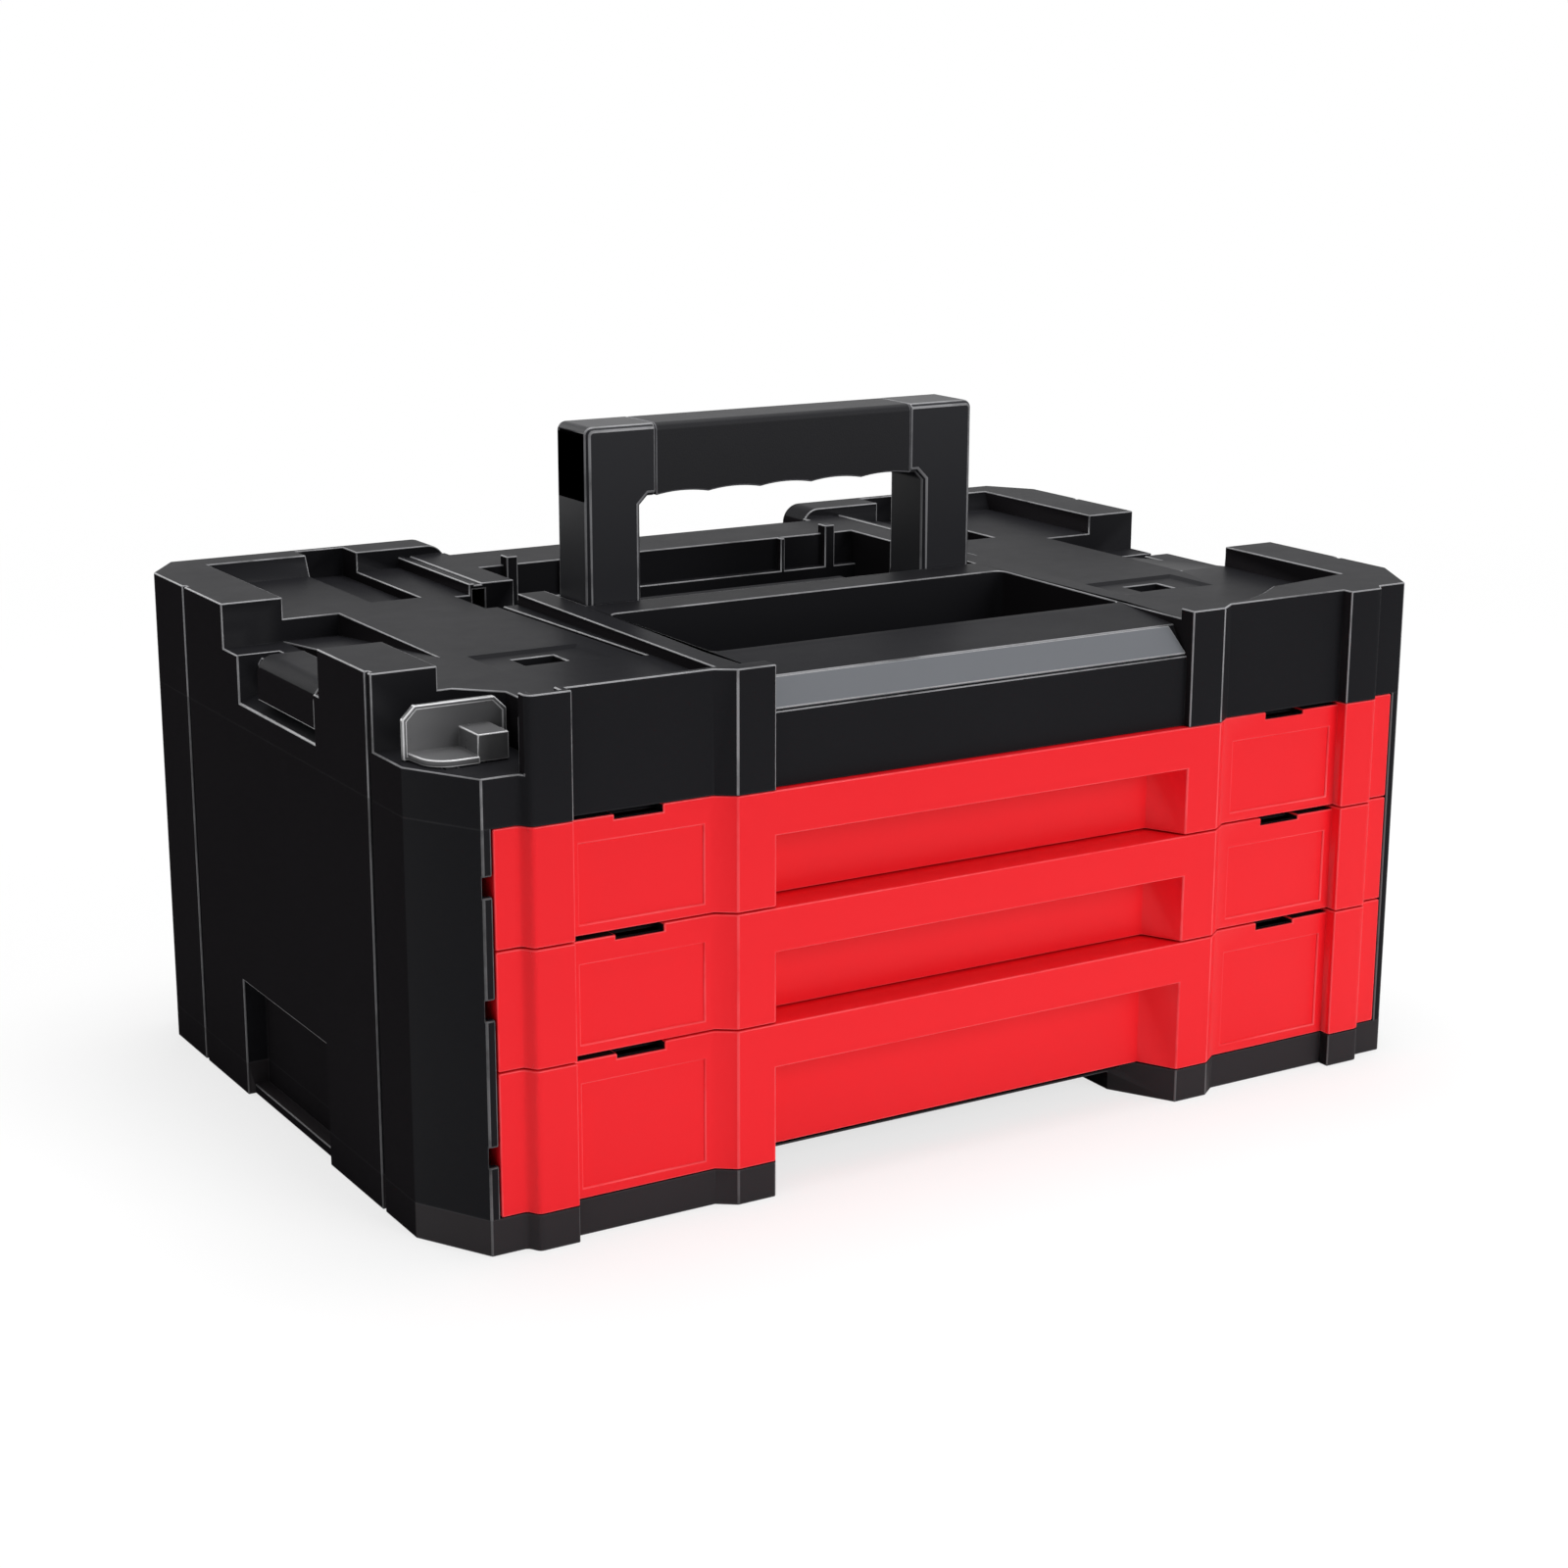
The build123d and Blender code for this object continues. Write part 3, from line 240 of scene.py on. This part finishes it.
# %% [markdown]
# ## Shared effects
#
# Three effects turn up in nearly every plastic: the fine grain that a spark-eroded mould leaves, the
# slow unevenness of gloss where the melt flowed and hands touched, and edges painted a little
# brighter, partly as wear and partly as a painted highlight. Each is one node group with named
# inputs, built once. A group puts out only values, so every material keeps its own shader.


# %% Group maker
def new_group(name, inputs, outputs):
    """An empty node group with float inputs {name: default} and outputs {name: socket type}."""
    group = bpy.data.node_groups.new(name, "ShaderNodeTree")
    for label, default in inputs.items():
        socket = group.interface.new_socket(label, in_out="INPUT", socket_type="NodeSocketFloat")
        socket.default_value = default
    for label, kind in outputs.items():
        group.interface.new_socket(label, in_out="OUTPUT", socket_type=kind)
    return group, group.nodes.new("NodeGroupInput"), group.nodes.new("NodeGroupOutput")


# %% Mould grain
grain_group, grain_in, grain_out = new_group(
    "mould_grain", {"Grains per metre": 2600.0}, {"Height": "NodeSocketFloat"})
grains_per_metre = grain_in.outputs["Grains per metre"]
where = chain(grain_group, "ShaderNodeTexCoord")
pits = chain(grain_group, "ShaderNodeTexVoronoi", Vector=where.outputs["Object"],
             Scale=grains_per_metre)
coarse = clouds(grain_group, grains_per_metre, 3.0, Roughness=0.6)
height = calculate(grain_group, "MULTIPLY", coarse, pits.outputs["Distance"])
grain_group.links.new(height, grain_out.inputs["Height"])

# %% Uneven gloss
flow_clouds = 14.0           # per metre
hand_smears = 90.0           # per metre

gloss_group, gloss_in, gloss_out = new_group(
    "uneven_gloss", {"Roughness": 0.4, "Spread": 0.08}, {"Roughness": "NodeSocketFloat"})
both = calculate(gloss_group, "ADD", clouds(gloss_group, flow_clouds, 5.0, Roughness=0.55),
                 clouds(gloss_group, hand_smears, 4.0, Roughness=0.7))
centred = calculate(gloss_group, "SUBTRACT", both, 1.0)
shift = calculate(gloss_group, "MULTIPLY", centred, gloss_in.outputs["Spread"])
total = calculate(gloss_group, "ADD", gloss_in.outputs["Roughness"], shift)
gloss_group.links.new(total, gloss_out.inputs["Roughness"])

# %% Rubbed edges and painted highlight
rub_and_highlight_patches = 60.0          # per metre

# Mask of the edges that are painted lighter: partly wear, partly a painted highlight for the lamps
# the small rounds mirror.
edge_group, edge_in, edge_out = new_group(
    "edges_rubbed_and_highlit", {"Width": 0.0008, "Patchiness": 0.5}, {"Mask": "NodeSocketFloat"})
rounded = chain(edge_group, "ShaderNodeBevel", {"samples": 4}, Radius=edge_in.outputs["Width"])
flat = chain(edge_group, "ShaderNodeNewGeometry")
turn = chain(edge_group, "ShaderNodeVectorMath", {"operation": "DOT_PRODUCT"},
             i0=rounded.outputs["Normal"], i1=flat.outputs["Normal"])
edge = chain(edge_group, "ShaderNodeMapRange", Value=turn.outputs["Value"], From_Min=0.995,
             From_Max=0.86, To_Min=0.0, To_Max=1.0)
patchy = chain(edge_group, "ShaderNodeMapRange", Value=clouds(edge_group, rub_and_highlight_patches, 4.0),
               From_Min=0.35, From_Max=0.65)
kept = chain(edge_group, "ShaderNodeMix", {"data_type": "FLOAT"},
             i0=edge_in.outputs["Patchiness"], i2=1.0, i3=patchy.outputs["Result"])
mask = calculate(edge_group, "MULTIPLY", edge.outputs["Result"], kept.outputs[0])
edge_group.links.new(mask, edge_out.inputs["Mask"])
print("built", len(bpy.data.node_groups), "shared effects")

# %% [markdown]
# ## The plastics
#
# Every plastic is one Principled shader: its colour is broken up by very slow clouds and lightened
# at the edges, partly as wear and partly as a painted highlight, its roughness comes from the uneven
# gloss, and its normal from the grain. Only the numbers differ, so one function makes them all.
# Constant sockets, such as the specular level, are set on the shader itself, because that is what
# survives an export. The faces that look sideways, the box's flanks, get a matte copy of the black
# that mirrors nothing and has darker edges: painted shade.

# %% Plastic maker
colour_clouds = 9.0          # per metre
gloss_spread = 0.08
grain_strength = 0.5


def blank_finish(name):
    """A new material, with its node tree and its Principled shader."""
    finish = bpy.data.materials.new(name)
    finish.use_nodes = True
    return finish, finish.node_tree, finish.node_tree.nodes["Principled BSDF"]


def uneven_gloss(tree, shader, roughness, spread):
    """Feed the shader's roughness from the shared effect."""
    gloss = chain(tree, "ShaderNodeGroup", {"node_tree": gloss_group}, Roughness=roughness,
                  Spread=spread)
    tree.links.new(gloss.outputs["Roughness"], shader.inputs["Roughness"])


def plastic(name, colour, rub_and_highlight_colour, roughness, specular=0.3, grain=2600.0, depth=0.00003, rub_and_highlight_share=0.6,
            mottle=0.12):
    """A moulded plastic.

    Colour is the plain surface and the next colour the lighter shade of an edge, partly wear and
    partly a painted highlight, which the share after depth brings out. Grain is the count of grains
    to the metre and depth their depth in metres. Mottle is how far the clouds lighten and darken the
    colour.
    """
    finish, tree, shader = blank_finish(name)
    low = opaque(channel * (1 - mottle) for channel in colour)
    high = opaque(min(1.0, channel * (1 + mottle)) for channel in colour)
    body = mix_colours(tree, clouds(tree, colour_clouds, 6.0, Roughness=0.6), low, high)
    edges = chain(tree, "ShaderNodeGroup", {"node_tree": edge_group})
    # edges lightened by the mask: partly wear, partly a painted highlight
    worn_and_highlit = calculate(tree, "MULTIPLY", edges.outputs["Mask"], rub_and_highlight_share)
    shade = mix_colours(tree, worn_and_highlit, body, opaque(rub_and_highlight_colour))
    tree.links.new(shade, shader.inputs["Base Color"])
    uneven_gloss(tree, shader, roughness, gloss_spread)
    grains = chain(tree, "ShaderNodeGroup", {"node_tree": grain_group}, Grains_per_metre=grain)
    bump = chain(tree, "ShaderNodeBump", Height=grains.outputs["Height"], Strength=grain_strength,
                 Distance=depth)
    tree.links.new(bump.outputs["Normal"], shader.inputs["Normal"])
    shader.inputs["Specular IOR Level"].default_value = specular
    print("finish", name)
    return finish


# %% The plastics of this box
black = (0.0112, 0.0112, 0.0128)
# The flank black is painted shade: a copy of the black for the faces that look sideways.
painted_shade_flank_black = (0.0118, 0.0108, 0.0120)
handle_black = (0.015, 0.0152, 0.018)
grip_black = (0.0135, 0.0135, 0.0155)
liner_black = (0.02, 0.02, 0.022)
insert_black = (0.03, 0.03, 0.034)
charcoal = (0.024, 0.021, 0.023)
red = (0.80, 0.010, 0.017)
grey = (0.128, 0.134, 0.146)

black_moulding = plastic("black_moulding", black, (0.05, 0.05, 0.053), 0.42, specular=0.022)
# Painted shade for the flanks: a matte copy that mirrors nothing, with darker edges.
painted_shade_flank_moulding = plastic("painted_shade_flank_moulding", painted_shade_flank_black, (0.03, 0.03, 0.031), 0.75, specular=0.0,
                         grain=1600.0, depth=0.00005)
handle_moulding = plastic("handle_moulding", handle_black, (0.07, 0.07, 0.075), 0.4, specular=0.12)
charcoal_moulding = plastic("charcoal_moulding", charcoal, (0.07, 0.07, 0.075), 0.5, specular=0.08)
red_moulding = plastic("red_moulding", red, (0.84, 0.05, 0.06), 0.34, specular=0.18, rub_and_highlight_share=0.4,
                       mottle=0.02)
grey_strip = plastic("grey_strip", grey, (0.20, 0.21, 0.22), 0.42, specular=0.12, mottle=0.05)
liner_plastic = plastic("liner_plastic", liner_black, (0.06, 0.06, 0.06), 0.5, specular=0.12)
insert_plastic = plastic("insert_plastic", insert_black, (0.09, 0.09, 0.095), 0.46, specular=0.2)
grip_cover = plastic("grip_cover", grip_black, (0.05, 0.05, 0.055), 0.48, specular=0.10,
                     grain=1500.0, depth=0.00008)

# %% [markdown]
# ## Polished edges and painted highlights
#
# Hands, tables and other boxes polish the outer edges of a moulding first, and there the black turns
# light grey and shiny. The light grey is also a painted highlight, for the lamps that the small
# rounds would mirror. The rounded edges are made of faces of their own, so they take a finish of
# their own, in which worn and highlit stretches and fresh ones take turns.

# %% Edge finishes
edge_patches = 38.0          # per metre
edge_gloss_spread = 0.1


def highlit_worn_edge(body, fresh, worn_and_highlit, roughness, specular):
    """The finish of a moulding's rounded edges, between its fresh colour and a lighter one that is
    partly wear and partly a painted highlight.
    """
    finish, tree, shader = blank_finish(f"{body.name}_edge")
    share = chain(tree, "ShaderNodeMapRange",
                  Value=clouds(tree, edge_patches, 5.0, Roughness=0.62), From_Min=0.30,
                  From_Max=0.52)
    shade = mix_colours(tree, share.outputs["Result"], opaque(fresh), opaque(worn_and_highlit))
    tree.links.new(shade, shader.inputs["Base Color"])
    uneven_gloss(tree, shader, roughness, edge_gloss_spread)
    shader.inputs["Specular IOR Level"].default_value = specular
    print("finish", finish.name)
    return finish


# The worn colour of each moulding is partly wear and partly a painted highlight.
edge_looks = [               # moulding, fresh colour, worn colour, roughness, specular level
    (black_moulding, (0.05, 0.05, 0.053), (0.22, 0.22, 0.23), 0.3, 0.4),
    (painted_shade_flank_moulding, (0.03, 0.03, 0.032), (0.11, 0.11, 0.115), 0.4, 0.2),
    (handle_moulding, (0.05, 0.05, 0.053), (0.20, 0.20, 0.21), 0.3, 0.4),
    (charcoal_moulding, (0.04, 0.038, 0.04), (0.085, 0.083, 0.087), 0.4, 0.2),
    (red_moulding, (0.80, 0.016, 0.024), (0.84, 0.055, 0.065), 0.3, 0.2),
    (grey_strip, (0.2, 0.21, 0.22), (0.30, 0.30, 0.31), 0.35, 0.3),
    (grip_cover, (0.03, 0.03, 0.032), (0.13, 0.13, 0.14), 0.4, 0.2),
]
edge_finish = {look[0].name: highlit_worn_edge(*look) for look in edge_looks}

# %% [markdown]
# ## The lock tab and the steel
#
# The lock tab is a milky smoke-grey plastic: light goes in, scatters and comes out again, so its
# edges look bright. A little transmission with a rough surface gives part of that, and a light edge
# finish, a painted highlight, gives the rest. Pins and screws are zinc-plated steel, brushed by
# handling.

# %% Smoke plastic
smoke_plastic = plastic("smoke_moulding", (0.145, 0.145, 0.15), (0.45, 0.45, 0.46), 0.3,
                        specular=0.4, depth=0.00001, rub_and_highlight_share=0.7)
smoke_shader = smoke_plastic.node_tree.nodes["Principled BSDF"]
smoke_shader.inputs["Transmission Weight"].default_value = 0.25
smoke_shader.inputs["IOR"].default_value = 1.49
# Its rounded edges are painted light grey: a painted highlight, with some wear.
edge_finish["smoke_moulding"] = highlit_worn_edge(smoke_plastic, (0.42, 0.42, 0.43), (0.72, 0.72, 0.73),
                                          0.22, 0.5)

# %% Zinc-plated steel
brush_lines = 3000.0         # per metre
brush_stretch = 0.05         # scale along Y, which draws the lines out from front to back

steel, tree, steel_shader = blank_finish("zinc_steel")
steel_shader.inputs["Metallic"].default_value = 1.0
where = chain(tree, "ShaderNodeTexCoord")
stretched = chain(tree, "ShaderNodeMapping", Vector=where.outputs["Object"],
                  Scale=(1.0, brush_stretch, 1.0))
brush = chain(tree, "ShaderNodeTexNoise", Vector=stretched.outputs[0], Scale=brush_lines,
              Detail=2.0)
tone = mix_colours(tree, brush.outputs["Fac"], (0.42, 0.42, 0.44, 1), (0.66, 0.66, 0.67, 1))
tree.links.new(tone, steel_shader.inputs["Base Color"])
uneven_gloss(tree, steel_shader, 0.32, 0.12)
print("finish", steel.name)

# %% [markdown]
# ## Mould-rounded edges
#
# A moulding has no knife edges. The solids come with sharp ones, so each visible moulding is copied,
# its triangles are joined back into flat faces, and a bevel rounds the outer edges by well under a
# millimetre. Inner corners stay crisp and dark, as they do where a mould's two halves meet. The copy
# then stands in for the solid, and rides on the same body. The weighted normals keep large faces
# flat.
#
# Where many edges meet, a bevel can throw a corner off the surface. So the copy is measured against
# its solid, and the edges round a stray corner are left sharp.

# %% Rounding values
weld = 0.002 * mm            # corners closer than this are one
flat_angle = radians(0.4)    # faces that turn less than this are one face
sharp_angle = radians(32)    # an edge that turns more than this gets a radius
on_plane = 0.05 * mm
stray_share = 0.8            # how far a rounded corner may lie from the solid, in radii
stray_reach = 2.5            # and how far around a stray one the edges stay sharp, in radii
stray_attempts = 4
flank_normal = 0.9           # faces that look sideways by this much are flanks
bevel_segments = 2
flat_face_weight = 80
# The seam slot holds black painted as shade, and the flank slot the sideways faces' painted shade.
plain_slot, edge_slot, painted_shade_slot, flank_slot = range(4)


# %% Edge choice
def distance_to_edge(spot, edge):
    """Distance from a point to an edge's stretch between its two corners."""
    start, end = (corner.co for corner in edge.verts)
    foot, share = intersect_point_line(spot, start, end)
    if share < 0:
        foot = start
    elif share > 1:
        foot = end
    return (spot - foot).length


def mark_edges(shell, flush):
    """Weight the outer edges for rounding, and keep inner corners and flush seams crisp."""
    layers = shell.edges.layers.float
    weight = layers.get("bevel_weight_edge") or layers.new("bevel_weight_edge")
    for edge in shell.edges:
        if len(edge.link_faces) != 2:
            continue
        turn = edge.calc_face_angle_signed()
        at_seam = any(all(abs(end.co.z - seam) < on_plane for end in edge.verts) for seam in flush)
        outer = turn > sharp_angle and not at_seam
        edge[weight] = 1.0 if outer else 0.0
        edge.smooth = outer or abs(turn) <= sharp_angle
    return weight


def stray_corners(piece, solid_tree, limit):
    """Corners of the rounded copy that lie further from the solid than the limit."""
    rounded = piece.evaluated_get(bpy.context.evaluated_depsgraph_get()).to_mesh()
    return [corner.co.copy() for corner in rounded.vertices
            if solid_tree.find_nearest(corner.co)[3] > limit]


def sharpen_near(shell, weight, strays, reach):
    """Take the rounding off the edges within reach of stray corners, and count them."""
    sharpened = 0
    for edge in shell.edges:
        near = any(distance_to_edge(stray, edge) < reach for stray in strays)
        if near and edge[weight] > 0:
            edge[weight] = 0.0
            edge.smooth = False
            sharpened += 1
    return sharpened


# %% Softening a moulding
def soften(node, finish, radius, flush=(), shape=None, flank=None, edges=None):
    """Replace a solid by a copy with rounded outer edges, painted lighter as wear and as a
    highlight.

    Flush holds the heights of seams that stay crisp, and shape is a last change to the faces. Flank
    is the finish of the faces that look sideways, painted shade on them, and edges that of the
    rounded ones, where they differ.
    """
    shell = bmesh.new()
    shell.from_mesh(frame["nodes"][node].data)
    solid_tree = BVHTree.FromBMesh(shell)
    bmesh.ops.remove_doubles(shell, verts=shell.verts, dist=weld)
    bmesh.ops.dissolve_limit(shell, angle_limit=flat_angle, verts=shell.verts, edges=shell.edges)
    for face in shell.faces:
        face.smooth = True
        # faces that look sideways take the flank slot, whose finish is painted shade
        face.material_index = flank_slot if abs(face.normal.x) > flank_normal else plain_slot
    if shape:
        shape(shell)
        solid_tree = BVHTree.FromBMesh(shell)
    weight = mark_edges(shell, flush)

    mesh = bpy.data.meshes.new(f"{node}_moulding")
    edge_layer = edges or edge_finish[finish.name]
    # slots: plain finish, edge finish with painted highlight, black as painted shade, flank finish
    # as painted shade
    for layer in (finish, edge_layer, black_moulding, flank or finish):
        mesh.materials.append(layer)
    piece = bpy.data.objects.new(f"{node}_moulding", mesh)
    bpy.context.scene.collection.objects.link(piece)
    bevel = piece.modifiers.new("mould_radius", "BEVEL")
    bevel.width = radius
    bevel.segments = bevel_segments
    bevel.limit_method = "WEIGHT"
    bevel.material = edge_slot
    bevel.use_clamp_overlap = False
    left_sharp = 0
    for attempt in range(stray_attempts):
        shell.to_mesh(mesh)
        strays = stray_corners(piece, solid_tree, stray_share * radius)
        if not strays:
            break
        left_sharp += sharpen_near(shell, weight, strays, stray_reach * radius)
    shell.free()
    weights = piece.modifiers.new("flat_faces", "WEIGHTED_NORMAL")
    weights.weight = flat_face_weight
    weights.keep_sharp = True
    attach(piece, body_of[node])
    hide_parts(node)
    print("softened", node, len(mesh.polygons), "faces,", left_sharp, "edges left sharp,",
          len(strays), "strays")


# %% [markdown]
# ## Seams in painted shade
#
# Above each panel the drawer fronts leave a wider seam with a small notch, and these lie in deep
# shade. A shallow red groove would glow in the light, so the grooves of the copies are made deeper,
# and their inner faces are painted the black of the case as painted shade. The catch that reaches
# past the left end of a front, where the lock holds it, is painted black too, as painted shade.

# %% Seams of the drawer fronts
panel_setback = 5.0 * mm     # panel behind the columns
groove_depth = 2.0 * mm      # seam groove behind the panel
groove_height = 3.1 * mm
deeper = 5.0 * mm
panel_from_middle = 110.0 * mm


def seams_in_painted_shade(shell):
    """Deepen the grooves along the top of a drawer front, and paint them and the catch black as
    shade.
    """
    front = min(corner.co.y for corner in shell.verts)
    top = max(corner.co.z for corner in shell.verts)
    right_end = max(corner.co.x for corner in shell.verts)
    groove_y = front + panel_setback + groove_depth
    for corner in shell.verts:
        spot = corner.co
        in_groove = abs(spot.y - groove_y) < on_plane and spot.z > top - groove_height
        if in_groove and abs(spot.x) > panel_from_middle:
            spot.y += deeper
    darkened = 0
    for face in shell.faces:
        spot = face.calc_center_median()
        inside_y = front + panel_setback + on_plane < spot.y < groove_y + deeper + on_plane
        inside_z = top - groove_height < spot.z < top - on_plane
        in_groove = inside_y and inside_z and abs(spot.x) > panel_from_middle
        in_catch = spot.x < -right_end - on_plane
        # groove and catch faces painted black: painted shade
        if in_groove or in_catch:
            face.material_index = painted_shade_slot
            darkened += 1
    print("darkened", darkened, "groove and catch faces")


# %% Visible mouldings
deck_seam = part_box("deck")[0][2]
base_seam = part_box("base")[1][2]
wall_seams = (deck_seam, base_seam)
# Flank finishes paint shade on the faces that look sideways.
soften("deck", black_moulding, 0.5 * mm, flush=(deck_seam,), flank=painted_shade_flank_moulding)
for side in ("left", "right"):
    # their rounded edges take the darker flank edge finish, painted shade too
    soften(f"{side}_side_panel", black_moulding, 0.6 * mm, flush=wall_seams,
           flank=painted_shade_flank_moulding, edges=edge_finish["painted_shade_flank_moulding"])
    soften(f"{side}_latch", black_moulding, 0.5 * mm, flank=painted_shade_flank_moulding)
soften("rear_panel", black_moulding, 0.5 * mm, flush=wall_seams)
soften("base", charcoal_moulding, 0.5 * mm, flush=(base_seam,),
       flank=painted_shade_flank_moulding)
soften("accent_strip", grey_strip, 0.4 * mm)
for height_name in ("top", "middle", "bottom"):
    soften(f"{height_name}_drawer_front", red_moulding, 0.55 * mm, shape=seams_in_painted_shade)
soften("handle_frame", handle_moulding, 0.6 * mm)
soften("handle_grip", grip_cover, 0.6 * mm)
soften("lock_tab", smoke_plastic, 0.45 * mm)

# %% [markdown]
# ## Inner pieces
#
# Trays, organizers, liners and pins show only when a drawer is open or in a gap, and their solids
# are already the right shape. They keep their meshes and get the finishes made above.

# %% Inner pieces
inner_finishes = {"runner": liner_plastic, "tray": black_moulding, "organizer": insert_plastic,
                  "lock_bar": liner_plastic, "screws": steel, "pins": steel}
for node, solid in frame["nodes"].items():
    for word, finish in inner_finishes.items():
        if node.endswith(word):
            solid.data.materials.clear()
            solid.data.materials.append(finish)
            print("finished", node)
